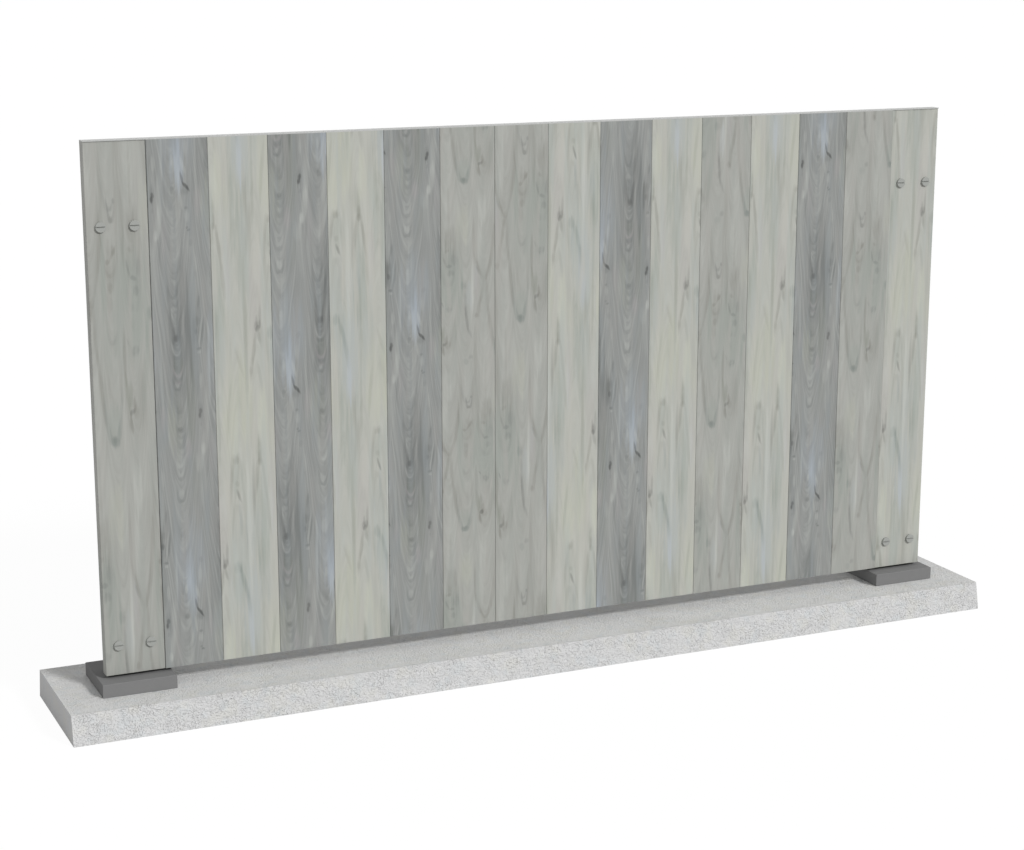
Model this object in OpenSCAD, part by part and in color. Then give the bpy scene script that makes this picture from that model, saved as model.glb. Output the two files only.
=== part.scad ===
// Privacy fence of upright PVC boards on two posts, standing on its own concrete plinth.
// +X runs along the fence, +Y to the back, +Z up; the origin is the middle of the plinth's underside.

/* [Panel] */
// Width that one board covers
board_pitch = 125; // [115:1:150]
// Height of the panel with its top trim
panel_height = 1098; // [600:2:1800]
// Thickness of the boards between the two end boards
board_depth = 27; // [24:1:40]
// How far the front of an end board lies behind the other boards
end_recess = 2; // [0:0.5:4]
// Thickness of the trim that lies along the top
trim_thickness = 2; // [1:0.5:6]
// Clear height between a base plate and the boards
foot_gap = 7; // [3:1:40]

/* [Posts and rails] */
// Width of a post along the fence
post_width = 100; // [94:1:110]
// Depth of a post and of the rails
post_depth = 40; // [30:1:60]
// Wall of a post
post_wall = 3; // [2:0.5:5]
// How far the top of a post stays below the top of the panel
post_drop = 10; // [5:1:60]
// Height of a rail
rail_height = 40; // [30:1:60]
// Wall of a rail
rail_wall = 2; // [1.5:0.5:4]
// Middle of the lower rail above the bottom of the boards
lower_rail_rise = 63; // [40:1:200]
// Middle of the upper rail below the top of the panel
upper_rail_drop = 170; // [60:1:300]

/* [Screws] */
// Distance between the two screws of a pair
screw_spacing = 68; // [50:1:70]
// Diameter of a screw head
head_diameter = 21; // [16:1:22]
// Height of a screw head
head_height = 4.5; // [3:0.5:8]
// Diameter of a screw shank
shank_diameter = 10; // [6:1:12]

/* [Base plates] */
// Side of a square base plate
plate_side = 156; // [120:1:200]
// Thickness of a base plate
plate_thickness = 28; // [10:1:40]

/* [Plinth] */
// Length of the plinth
plinth_length = 2196; // [2120:2:2600]
// Depth of the plinth at its top
plinth_top_depth = 300; // [220:5:400]
// How far each long side spreads at the bottom
plinth_flare = 12.5; // [0:0.5:30]
// Height of the plinth
plinth_height = 63; // [40:1:120]

/* [Hidden] */
$fn = 64;

LEFT = -1;
RIGHT = 1;
board_count = 16;

// Boards: tongue and groove along their long edges, with a small chamfer at the front
board_joint = 0.4;
board_width = board_pitch - board_joint;
board_chamfer = 0.8;
tongue_reach = 6;
tongue_thickness = 8;
groove_clearance = 0.3;

// Depths, from the back of the posts to the front of the boards
post_front = -post_depth / 2;
panel_front = post_front - board_depth;
end_front = panel_front + end_recess;
tongue_middle = post_front - board_depth / 2;

// Heights
plate_top = plinth_height + plate_thickness;
panel_bottom = plate_top + foot_gap;
panel_top = panel_bottom + panel_height;
board_length = panel_height - trim_thickness;
lower_rail_z = panel_bottom + lower_rail_rise;
upper_rail_z = panel_top - upper_rail_drop;

// Places along the fence
panel_length = board_count * board_pitch;
post_x = (panel_length - board_pitch) / 2;

// Posts, caps, plates and screws
cap_thickness = 3;
cap_plug_height = 12;
cap_plug_wall = 2;
cap_plug_clearance = 0.3;
post_top = panel_top - post_drop - cap_thickness;
plate_chamfer = 1;
head_chamfer = 0.6;
slot_width = 2.8;
slot_depth = 2.6;
shank_length = 40;
screw_clearance = 0.25;
bore_diameter = shank_diameter + 2 * screw_clearance;
cut_margin = 1;

// Section of a board that starts at x = 0, drawn with its front at y = front
module board_section(front, has_groove, has_tongue) {
    tongue = tongue_thickness / 2;
    groove = tongue + groove_clearance;
    groove_reach = tongue_reach + groove_clearance;
    polygon(concat(
        [
            [0, front + board_chamfer],
            [board_chamfer, front],
            [board_width - board_chamfer, front],
            [board_width, front + board_chamfer]
        ],
        has_tongue ? [
            [board_width, tongue_middle - tongue],
            [board_width + tongue_reach, tongue_middle - tongue],
            [board_width + tongue_reach, tongue_middle + tongue],
            [board_width, tongue_middle + tongue]
        ] : [],
        [[board_width, post_front], [0, post_front]],
        has_groove ? [
            [0, tongue_middle + groove],
            [groove_reach, tongue_middle + groove],
            [groove_reach, tongue_middle - groove],
            [0, tongue_middle - groove]
        ] : []
    ));
}

// One board, counted from 1 at the left end
module board(index, front = panel_front) {
    translate([(index - 1) * board_pitch - panel_length / 2 + board_joint / 2, 0, panel_bottom])
        linear_extrude(board_length)
            board_section(front, index > 1, index < board_count);
}

// Places its children at the four screws of one end, with their axis along Y
module at_screws(side) {
    for (dx = [-1, 1], z = [lower_rail_z, upper_rail_z])
        translate([side * post_x + dx * screw_spacing / 2, 0, z])
            children();
}

// Clearance bores of one end's four screws between two depths
module screw_bores(side, y_from, y_to) {
    at_screws(side)
        translate([0, y_from, 0])
            rotate([-90, 0, 0])
                cylinder(d = bore_diameter, h = y_to - y_from);
}

module pale_board(index) {
    color([0.66, 0.68, 0.62]) board(index);
}

module mid_board(index) {
    color([0.58, 0.60, 0.57]) board(index);
}

module dark_board(index) {
    color([0.49, 0.51, 0.52]) board(index);
}

module end_board_left() {
    color([0.58, 0.60, 0.57])
        difference() {
            board(1, end_front);
            screw_bores(LEFT, end_front - cut_margin, post_front + cut_margin);
        }
}

module end_board_right() {
    color([0.66, 0.68, 0.62])
        difference() {
            board(board_count, end_front);
            screw_bores(RIGHT, end_front - cut_margin, post_front + cut_margin);
        }
}

// Flat strip over the ends of all the boards, flush with the front of the middle ones
module top_trim() {
    color([0.69, 0.69, 0.68])
        translate([-panel_length / 2, panel_front, panel_top - trim_thickness])
            cube([panel_length, board_depth, trim_thickness]);
}

// Section of a rectangular tube, centred
module tube_section(width, depth, wall) {
    difference() {
        square([width, depth], center = true);
        square([width - 2 * wall, depth - 2 * wall], center = true);
    }
}

// Upright tube behind an end board, drilled for that board's screws
module post(side) {
    color([0.42, 0.42, 0.42])
        difference() {
            translate([side * post_x, 0, plate_top])
                linear_extrude(post_top - plate_top)
                    tube_section(post_width, post_depth, post_wall);
            screw_bores(side, post_front - cut_margin, post_front + post_wall + cut_margin);
        }
}

// Flat plastic cap with a hollow plug that fits inside the post
module post_cap(side) {
    inner_width = post_width - 2 * (post_wall + cap_plug_clearance);
    inner_depth = post_depth - 2 * (post_wall + cap_plug_clearance);
    color([0.30, 0.30, 0.30])
        translate([side * post_x, 0, post_top]) {
            linear_extrude(cap_thickness)
                square([post_width, post_depth], center = true);
            translate([0, 0, -cap_plug_height])
                linear_extrude(cap_plug_height)
                    tube_section(inner_width, inner_depth, cap_plug_wall);
        }
}

// Level tube between the posts that carries the boards
module rail(z) {
    rail_length = 2 * post_x - post_width;
    color([0.42, 0.42, 0.42])
        translate([0, 0, z])
            rotate([90, 0, 90])
                linear_extrude(rail_length, center = true)
                    tube_section(post_depth, rail_height, rail_wall);
}

// Slotted screw with a low round head, through an end board into the post
module screw(side, dx, z) {
    radius = head_diameter / 2;
    color([0.62, 0.62, 0.60])
        translate([side * post_x + dx * screw_spacing / 2, end_front, z]) {
            rotate([90, 0, 0])
                difference() {
                    rotate_extrude()
                        polygon([
                            [0, 0],
                            [radius, 0],
                            [radius, head_height - head_chamfer],
                            [radius - head_chamfer, head_height],
                            [0, head_height]
                        ]);
                    translate([0, 0, head_height])
                        cube([head_diameter + cut_margin, slot_width, 2 * slot_depth], center = true);
                }
            rotate([-90, 0, 0])
                cylinder(d = shank_diameter, h = shank_length);
        }
}

// Side view of a base plate with its top edges chamfered
module plate_section() {
    half = plate_side / 2;
    polygon([
        [-half, 0],
        [half, 0],
        [half, plate_thickness - plate_chamfer],
        [half - plate_chamfer, plate_thickness],
        [-half + plate_chamfer, plate_thickness],
        [-half, plate_thickness - plate_chamfer]
    ]);
}

module base_plate(side) {
    color([0.42, 0.42, 0.42])
        translate([side * post_x, 0, plinth_height])
            intersection() {
                rotate([90, 0, 0])
                    linear_extrude(plate_side, center = true)
                        plate_section();
                rotate([90, 0, 90])
                    linear_extrude(plate_side, center = true)
                        plate_section();
            }
}

// Concrete bar with upright ends and long sides that spread towards the ground
module plinth() {
    top = plinth_top_depth / 2;
    bottom = top + plinth_flare;
    color([0.78, 0.78, 0.77])
        rotate([90, 0, 90])
            linear_extrude(plinth_length, center = true)
                polygon([[-bottom, 0], [bottom, 0], [top, plinth_height], [-top, plinth_height]]);
}

plinth();
base_plate(LEFT);  // base_plate_left
base_plate(RIGHT);  // base_plate_right
post(LEFT);  // post_left
post(RIGHT);  // post_right
post_cap(LEFT);  // post_cap_left
post_cap(RIGHT);  // post_cap_right
rail(lower_rail_z);  // rail_lower
rail(upper_rail_z);  // rail_upper
end_board_left();
dark_board(2);  // board_02
pale_board(3);  // board_03
dark_board(4);  // board_04
pale_board(5);  // board_05
dark_board(6);  // board_06
mid_board(7);  // board_07
mid_board(8);  // board_08
pale_board(9);  // board_09
dark_board(10);  // board_10
pale_board(11);  // board_11
mid_board(12);  // board_12
pale_board(13);  // board_13
dark_board(14);  // board_14
mid_board(15);  // board_15
end_board_right();
top_trim();
screw(LEFT, LEFT, lower_rail_z);  // screw_left_lower_outer
screw(LEFT, RIGHT, lower_rail_z);  // screw_left_lower_inner
screw(LEFT, LEFT, upper_rail_z);  // screw_left_upper_outer
screw(LEFT, RIGHT, upper_rail_z);  // screw_left_upper_inner
screw(RIGHT, LEFT, lower_rail_z);  // screw_right_lower_inner
screw(RIGHT, RIGHT, lower_rail_z);  // screw_right_lower_outer
screw(RIGHT, LEFT, upper_rail_z);  // screw_right_upper_inner
screw(RIGHT, RIGHT, upper_rail_z);  // screw_right_upper_outer
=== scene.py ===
"""Looks of a free-standing privacy fence: sixteen printed PVC boards on two posts and a concrete plinth."""
import logging
import math
from collections.abc import Callable, Sequence
from dataclasses import dataclass, field
from enum import Enum
from functools import cache

import bpy
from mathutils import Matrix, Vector


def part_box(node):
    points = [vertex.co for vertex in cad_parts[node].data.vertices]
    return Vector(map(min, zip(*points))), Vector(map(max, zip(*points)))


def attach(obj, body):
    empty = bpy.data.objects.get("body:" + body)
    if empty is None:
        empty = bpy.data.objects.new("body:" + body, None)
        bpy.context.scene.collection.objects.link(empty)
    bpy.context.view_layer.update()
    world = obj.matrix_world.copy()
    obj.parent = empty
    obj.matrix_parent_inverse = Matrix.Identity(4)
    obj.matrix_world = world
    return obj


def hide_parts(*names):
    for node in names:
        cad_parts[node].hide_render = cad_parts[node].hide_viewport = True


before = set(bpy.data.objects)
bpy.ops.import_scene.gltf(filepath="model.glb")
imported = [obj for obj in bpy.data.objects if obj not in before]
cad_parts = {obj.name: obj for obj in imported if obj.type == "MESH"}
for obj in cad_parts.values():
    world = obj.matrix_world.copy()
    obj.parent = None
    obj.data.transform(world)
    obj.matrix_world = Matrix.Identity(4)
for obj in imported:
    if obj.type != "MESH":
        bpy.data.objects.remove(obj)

LOG = logging.getLogger("privacy_fence")
BODY = "root"
MM = 0.001
TOUCH = MM / 10  # Nearer than this is on the same plane

Display = tuple[int, int, int]
Linear = tuple[float, float, float, float]
Socket = bpy.types.NodeSocket
Value = Socket | float | Sequence[float]


def paint(display: Display) -> Linear:
    """Turns a display colour into the linear one that a shader takes.

    Args:
        display: Red, green and blue from 0 to 255.

    Returns:
        Linear red, green and blue, and an alpha of 1.
    """
    shares = [part / 255 for part in display]
    linear = [share / 12.92 if share <= 0.04045 else ((share + 0.055) / 1.055) ** 2.4 for share in shares]
    return (*linear, 1.0)


# ---- shader graphs


class Port(Enum):
    """Kinds of socket on a shader node group."""

    NUMBER = "NodeSocketFloat"
    VECTOR = "NodeSocketVector"
    COLOUR = "NodeSocketColor"


class Graph:
    """Adds nodes to one node tree and links them."""

    def __init__(self, tree: bpy.types.NodeTree) -> None:
        """Starts on the tree of a material, a world or a node group."""
        self.tree = tree

    @classmethod
    def group(cls, name: str, inputs: dict[Port, str], outputs: dict[Port, str]) -> "Graph":
        """Makes a node group with its own input and output nodes.

        Args:
            name: Name of the group.
            inputs: Names of the input sockets of each kind, parted by spaces.
            outputs: Names of the output sockets of each kind.

        Returns:
            The graph of the new group.
        """
        graph = cls(bpy.data.node_groups.new(name, "ShaderNodeTree"))
        for side, sockets in (("INPUT", inputs), ("OUTPUT", outputs)):
            for port, names in sockets.items():
                for label in names.split():
                    graph.tree.interface.new_socket(name=label, in_out=side, socket_type=port.value)
        graph.inlet = graph.add("NodeGroupInput").outputs
        return graph

    def feed(self, socket: Socket, value: Value) -> None:
        """Links an input socket to an output socket, or sets its own value.

        Args:
            socket: The input socket.
            value: An output socket, a number, a vector or a colour.
        """
        if isinstance(value, Socket):
            self.tree.links.new(value, socket)
        else:
            socket.default_value = value

    def add(self, kind: str, *values: Value, **named: Value | str) -> bpy.types.Node:
        """Adds a node.

        Args:
            kind: Type name of the node.
            values: Its first inputs.
            named: Its inputs by name, with _ for a space, and its properties, which have no capitals.

        Returns:
            The new node.
        """
        node = self.tree.nodes.new(kind)
        for label, value in named.items():
            if label.islower():
                setattr(node, label, value)
        for label, value in named.items():
            if not label.islower():
                self.feed(node.inputs[label.replace("_", " ")], value)
        for socket, value in zip(node.inputs, values):
            self.feed(socket, value)
        return node

    def shade(self, **values: Value) -> None:
        """Ends a material in a Principled shader with inputs by name."""
        shader = self.add("ShaderNodeBsdfPrincipled", **values)
        self.add("ShaderNodeOutputMaterial", shader.outputs["BSDF"])

    def give(self, **values: Value) -> None:
        """Ends a group in its outputs by name."""
        self.add("NodeGroupOutput", **values)

    def math(self, operation: str, *values: Value) -> Socket:
        """Result of a Math node."""
        return self.add("ShaderNodeMath", *values, operation=operation).outputs[0]

    def times(self, first: Value, second: Value) -> Socket:
        """Product of two numbers."""
        return self.math("MULTIPLY", first, second)

    def vector(self, operation: str, *values: Value) -> Socket:
        """Vector that a Vector Math node gives."""
        return self.add("ShaderNodeVectorMath", *values, operation=operation).outputs["Vector"]

    def dot(self, first: Value, second: Value) -> Socket:
        """Dot product of two vectors."""
        return self.add("ShaderNodeVectorMath", first, second, operation="DOT_PRODUCT").outputs["Value"]

    def scale(self, vector: Value, share: Value) -> Socket:
        """A vector or a colour times a number."""
        return self.add("ShaderNodeVectorMath", vector, operation="SCALE", Scale=share).outputs["Vector"]

    def combine(self, *parts: Value) -> Socket:
        """Up to three numbers as a vector."""
        return self.add("ShaderNodeCombineXYZ", *parts).outputs[0]

    def noise(self, place: Value, grain: Sequence[float], detail: float, roughness: float = 0.5) -> Socket:
        """Adds a Noise Texture.

        Args:
            place: Vector to sample at.
            grain: Grains in one unit of the place along each axis.
            detail: Number of finer layers.
            roughness: Strength of the finer layers.

        Returns:
            The noise, from 0 to 1.
        """
        place = self.vector("MULTIPLY", place, grain)
        made = self.add("ShaderNodeTexNoise", Vector=place, Scale=1.0, Detail=detail, Roughness=roughness)
        return made.outputs["Fac"]

    def remap(self, value: Value, low: float, high: float, to_low: float = 0, to_high: float = 1) -> Socket:
        """Maps a number from one range to another and clamps it."""
        return self.add("ShaderNodeMapRange", value, low, high, to_low, to_high).outputs["Result"]

    def ease(self, value: Value, low: float, high: float) -> Socket:
        """Maps a range to 0 to 1, easing in and out."""
        made = self.add("ShaderNodeMapRange", value, low, high, interpolation_type="SMOOTHSTEP")
        return made.outputs["Result"]

    def mix(self, share: Value, first: Value, second: Value) -> Socket:
        """Mixes two colours.

        Args:
            share: How much of the second colour.
            first: The colour below.
            second: The colour above.

        Returns:
            The mixed colour.
        """
        made = self.add("ShaderNodeMix", share, data_type="RGBA")
        self.feed(made.inputs[6], first)
        self.feed(made.inputs[7], second)
        return made.outputs[2]

    def place(self, group: "Graph", **values: Value) -> bpy.types.NodeOutputs:
        """Places a node group with inputs by name, and gives its outputs."""
        return self.add("ShaderNodeGroup", node_tree=group.tree, **values).outputs

    def bump(self, height: Value, distance: float, strength: float = 1.0) -> Socket:
        """Normal bent by a height, which is so many metres deep at 1."""
        made = self.add("ShaderNodeBump", Height=height, Distance=distance, Strength=strength)
        return made.outputs["Normal"]


def new_graph(owner: bpy.types.Material | bpy.types.World) -> Graph:
    """Makes an empty node tree for a material or a world.

    Args:
        owner: The material or the world.

    Returns:
        The graph of its tree.
    """
    owner.use_nodes = True
    owner.node_tree.nodes.clear()
    return Graph(owner.node_tree)


def object_place(
    graph: Graph, move: Sequence[float] = (0, 0, 0), scale: Sequence[float] = (1, 1, 1)
) -> Socket:
    """The piece's own coordinates, scaled and then moved by a Mapping node."""
    own = graph.add("ShaderNodeTexCoord").outputs["Object"]
    return graph.add("ShaderNodeMapping", own, Location=move, Scale=scale).outputs["Vector"]


# ---- printed wood decor

# The print is a tile 84 mm wide that repeats down the board in 900 parts. Each column of tiles
# starts half a repeat lower than the one on its left.
TILE_WIDTH = 84.0
TILE_PARTS = 900.0
DROP = TILE_PARTS / 2 / TILE_WIDTH

# A spot of ink wider than this each way is combed out along the fibres
BROAD = 6.0


class Tone(Enum):
    """Inks of the printed decors, as display colours."""

    INK = (44, 46, 44)
    SLATE = (94, 98, 97)
    UMBER = (104, 102, 92)
    MOSS = (99, 106, 88)
    TEAL = (86, 102, 98)
    SAGE = (132, 143, 135)
    ROSE = (168, 160, 161)
    STRAW = (200, 203, 178)
    MIST = (206, 209, 203)
    FROST = (182, 188, 194)
    ICE = (168, 178, 190)


INK, SLATE, UMBER, MOSS, TEAL, SAGE, ROSE, STRAW, MIST, FROST, ICE = Tone


# Grains of the noises in a print, across and down the board, to the millimetre and the tile part
BROAD_WAVER = (1 / 24, 1 / 90, 0)
FINE_WAVER = (1 / 4.5, 1 / 22, 0)
COMB = (1 / 5, 1 / 130, 0)
SWAY = (1 / 40, 1 / 130, 0)
DRIFT = (1 / 38, 1 / 60, 0)
PATCH = (1 / 26, 1 / 85, 0)
BAND = (1 / 34, 1 / 30, 0)
HAIR = (1 / 1.7, 1 / 70, 0)
STRAND = (1 / 6, 1 / 180, 0)
TINT = (1 / 20, 1 / 210, 0)


def start_mark(name: str, vectors: str, numbers: str) -> tuple[Graph, Socket]:
    """Starts the group of one kind of mark.

    Args:
        name: Name of the group.
        vectors: Vector inputs that only this kind has.
        numbers: Number inputs that only this kind has.

    Returns:
        The graph, and the way from the mark's nearest repeat to the point, on the slanted tile axes.
    """
    graph = Graph.group(
        name,
        {Port.COLOUR: "Colour Tint", Port.VECTOR: f"Tile Centre Across {vectors}",
         Port.NUMBER: f"Fray Strength {numbers}"},
        {Port.COLOUR: "Colour"},
    )
    half = (TILE_WIDTH / 2, TILE_PARTS / 2, 1.0)
    away = graph.vector("SUBTRACT", graph.inlet["Tile"], graph.inlet["Centre"])
    return graph, graph.vector("WRAP", away, half, tuple(-part for part in half))


def stain(graph: Graph, radius: Value) -> None:
    """Colours the point by its squared radius in the mark, which is 1 at the rim.

    Args:
        graph: Graph of the mark's group.
        radius: The squared radius.
    """
    source = graph.inlet
    mask = graph.ease(graph.math("ADD", radius, source["Fray"]), 1.0, 0.0)
    share = graph.times(mask, source["Strength"])
    graph.give(Colour=graph.mix(share, source["Colour"], source["Tint"]))


@cache
def streak_group() -> Graph:
    """Makes the group for a soft oval that leans and bows: a streak, a blot or a knot.

    Returns:
        The graph of the group.
    """
    graph, local = start_mark("print_streak", "Along", "Bow")
    along = graph.dot(local, graph.inlet["Along"])
    square = graph.times(along, along)
    straight = graph.dot(local, graph.inlet["Across"])
    across = graph.math("MULTIPLY_ADD", square, graph.inlet["Bow"], straight)
    stain(graph, graph.math("MULTIPLY_ADD", across, across, square))
    return graph


@cache
def arch_group() -> Graph:
    """Makes the group for a line along a parabola, as where a growth ring comes to a point.

    Returns:
        The graph of the group.
    """
    graph, local = start_mark("print_arch", "", "Rise Line Slope Inside")
    source = graph.inlet
    down = graph.dot(local, (DROP, 1.0, 0.0))
    across = graph.dot(local, source["Across"])
    square = graph.times(across, across)
    bowl = graph.math("MULTIPLY_ADD", square, graph.times(square, 0.5), graph.times(square, 0.5))
    off = graph.math("MULTIPLY_ADD", bowl, source["Rise"], down)
    reach = graph.math("MULTIPLY_ADD", bowl, source["Slope"], source["Line"])
    inner = graph.times(off, source["Inside"])
    outer = graph.times(off, graph.math("SIGN", source["Inside"]))
    wide = graph.math("MAXIMUM", inner, graph.times(outer, -1.0))
    thick = graph.math("DIVIDE", graph.times(wide, wide), reach)
    stain(graph, graph.math("MULTIPLY_ADD", square, square, thick))
    return graph


@cache
def tile_group() -> Graph:
    """Makes the group that turns a place on the board into slanted tile axes, with a hand-drawn waver.

    Returns:
        The graph of the group.
    """
    graph = Graph.group(
        "print_tile", {Port.VECTOR: "Place"}, {Port.VECTOR: "Tile Flat", Port.NUMBER: "Fray Comb"}
    )
    place = graph.inlet["Place"]
    flat = graph.combine(graph.dot(place, (1.0, 1.0, 0.0)), graph.dot(place, (0.0, 0.0, 1.0)))
    broad = graph.noise(flat, BROAD_WAVER, 1.0)
    fine = graph.noise(flat, FINE_WAVER, 1.0)
    comb = graph.noise(flat, COMB, 2.0)
    moved = graph.vector("ADD", flat, graph.vector(
        "ADD",
        graph.vector("MULTIPLY_ADD", broad.node.outputs["Color"], (4.0, 14.0, 0), (-2.0, -7.0, 0)),
        graph.vector("MULTIPLY_ADD", fine.node.outputs["Color"], (1.0, 3.0, 0), (-0.5, -1.5, 0)),
    ))
    slanted = graph.combine(graph.dot(moved, (1.0, 0.0, 0.0)), graph.dot(moved, (-DROP, 1.0, 0.0)))
    fray = graph.math("MULTIPLY_ADD", fine, 0.5, -0.25)
    graph.give(Tile=slanted, Flat=flat, Fray=fray, Comb=graph.math("MULTIPLY_ADD", comb, 1.8, -0.9))
    return graph


@cache
def figure_group() -> Graph:
    """Makes the group for the nested rings: cups that darken towards a crisp lower rim.

    Returns:
        The graph of the group.
    """
    graph = Graph.group(
        "print_figure",
        {Port.COLOUR: "Colour Dark Light", Port.VECTOR: "Flat",
         Port.NUMBER: "Middle Half Curve Step Depth Band"},
        {Port.COLOUR: "Colour"},
    )
    source = graph.inlet
    flat = source["Flat"]
    across = graph.dot(flat, (1.0, 0.0, 0.0))
    sway = graph.math("MULTIPLY_ADD", graph.noise(flat, SWAY, 1.0), 8.0, -4.0)
    swayed = graph.math("ADD", graph.math("SUBTRACT", across, source["Middle"]), sway)
    off = graph.math("WRAP", swayed, source["Half"], graph.times(source["Half"], -1.0))
    down = graph.dot(flat, (0.0, 1.0, 0.0))
    ring = graph.math("MULTIPLY_ADD", graph.times(off, off), source["Curve"], down)
    bent = graph.combine(across, ring)
    drift = graph.times(graph.noise(bent, DRIFT, 1.0), 5.0)
    cup = graph.math("FRACT", graph.math("ADD", graph.math("DIVIDE", ring, source["Step"]), drift))
    rim = graph.times(graph.ease(cup, 0.05, 0.80), graph.ease(cup, 1.0, 0.80))
    side = graph.math("DIVIDE", off, source["Half"])
    tip = graph.math("MULTIPLY_ADD", graph.times(side, side), -0.85, 1.0)
    spread = graph.ease(graph.noise(flat, PATCH, 1.0), 0.36, 0.66)
    level = graph.times(graph.times(tip, spread), source["Depth"])
    colour = graph.mix(graph.times(rim, level), source["Colour"], source["Dark"])
    band = graph.noise(bent, BAND, 3.0, 0.55)
    for end, ink in ((0.25, "Dark"), (0.75, "Light")):
        share = graph.times(graph.remap(band, 0.50, end), source["Band"])
        colour = graph.mix(share, colour, source[ink])
    graph.give(Colour=colour)
    return graph


@cache
def fibre_group() -> Graph:
    """Makes the group for the fine upright fibres and the slow drift of tint between the marks.

    Returns:
        The graph of the group.
    """
    graph = Graph.group(
        "print_fibre",
        {Port.COLOUR: "Colour Cool Warm", Port.VECTOR: "Flat", Port.NUMBER: "Fibre Tinted"},
        {Port.COLOUR: "Colour", Port.NUMBER: "Height"},
    )
    source = graph.inlet
    hair = graph.noise(source["Flat"], HAIR, 3.0, 0.6)
    height = graph.math("MULTIPLY_ADD", hair, 0.25, graph.noise(source["Flat"], STRAND, 2.0))
    fibre = graph.times(graph.math("SUBTRACT", height, 0.625), source["Fibre"])
    tint = graph.noise(source["Flat"], TINT, 2.0)
    colour = source["Colour"]
    for end, ink in ((0.28, "Cool"), (0.72, "Warm")):
        share = graph.times(graph.ease(tint, 0.50, end), source["Tinted"])
        colour = graph.mix(share, colour, source[ink])
    graph.give(Colour=graph.scale(colour, graph.math("ADD", fibre, 1.0)), Height=height)
    return graph


@dataclass(frozen=True)
class Mark:
    """One mark of ink. Places on the tile are across, in millimetres, and down, in parts."""

    tone: Tone
    strength: float
    across: float
    down: float
    half_width: float

    def print_on(self, graph: Graph, colour: Value, tile: bpy.types.NodeOutputs) -> Socket:
        """Prints the mark.

        Args:
            graph: Graph of the decor.
            colour: Colour below.
            tile: Outputs of the placed tile group.

        Returns:
            The colour with the mark on it.
        """
        group, fray, shape = self._shape()
        return graph.place(
            group, Colour=colour, Tile=tile["Tile"], Fray=tile[fray],
            Centre=(self.across, self.down - DROP * self.across, 0.0), Tint=paint(self.tone.value),
            Strength=self.strength, **shape,
        )["Colour"]

    def _shape(self) -> tuple[Graph, str, dict[str, Value]]:
        """The mark's group, the tile output that frays its rim, and the inputs of its own kind."""
        raise NotImplementedError


@dataclass(frozen=True)
class Blot(Mark):
    """A soft oval spot of ink that may lean and bow; a broad one is combed out along the fibres."""

    half_length: float
    lean: float = 0.0
    bow: float = 0.0

    def _shape(self) -> tuple[Graph, str, dict[str, Value]]:
        """Gives the oval.

        Returns:
            The streak group, the comb or the fray, and the oval's axes.
        """
        across = ((1 - self.lean * DROP) / self.half_width, -self.lean / self.half_width, 0.0)
        along = (DROP / self.half_length, 1 / self.half_length, 0.0)
        shape = {"Across": across, "Along": along, "Bow": -self.bow / self.half_width}
        return streak_group(), "Comb" if self.half_width > BROAD else "Fray", shape


def streak(
    tone: Tone, strength: float, start: float, top: float, end: float, foot: float, half_width: float,
    bow: float = 0.0,
) -> Blot:
    """Makes a tapering line of ink.

    Args:
        tone: The ink.
        strength: Its strength.
        start: Place of the upper end across the tile.
        top: The same down the tile.
        end: Place of the lower end across the tile.
        foot: The same down the tile.
        half_width: Half the width of the line in its middle.
        bow: How far its middle is moved to the left.

    Returns:
        The line.
    """
    overrun = 1.12
    length = foot - top
    across = (start + end) / 2 - bow / overrun**2
    lean = (end - start) / length
    return Blot(tone, strength, across, (top + foot) / 2, half_width, length / 2 * overrun, lean, bow)


@dataclass(frozen=True)
class Arch(Mark):
    """A growth ring's line that comes to a point: arms rise from the tip, or fall if rise is negative.

    Fade is how many times softer the line is on its inner side.
    """

    rise: float
    line: float
    fade: float = 2.0

    def _shape(self) -> tuple[Graph, str, dict[str, Value]]:
        """Gives the parabola.

        Returns:
            The arch group, the fray, and the shape of the line.
        """
        return arch_group(), "Fray", {
            "Across": (1 / self.half_width, 0.0, 0.0),
            "Rise": self.rise,
            "Line": self.line**2,
            "Slope": (self.line * 2 * self.rise / self.half_width) ** 2,
            "Inside": math.copysign(1 / self.fade, -self.rise),
        }


def each(kind: Callable[..., Mark], tone: Tone, *rows: Sequence[float]) -> list[Mark]:
    """Marks of one kind and tone, each from its strength, its place and its shape."""
    return [kind(tone, *row) for row in rows]


@dataclass(frozen=True)
class Figure:
    """The nested rings of a decor: where their tips line up, how they curve and how strong they are.

    Curve is in tile parts per square millimetre, and negative where the tips point up.
    """

    middle: float
    pitch: float
    curve: float
    step: float
    depth: float
    band: float
    dark: Tone
    light: Tone

    def print_on(self, graph: Graph, colour: Value, flat: Socket) -> Socket:
        """Prints the rings.

        Args:
            graph: Graph of the decor.
            colour: Colour below.
            flat: Place on the board, across and down.

        Returns:
            The colour with the rings on it.
        """
        return graph.place(
            figure_group(), Colour=colour, Flat=flat, Middle=self.middle, Half=self.pitch / 2,
            Curve=self.curve, Step=self.step, Depth=self.depth, Band=self.band, Dark=paint(self.dark.value),
            Light=paint(self.light.value),
        )["Colour"]


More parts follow.
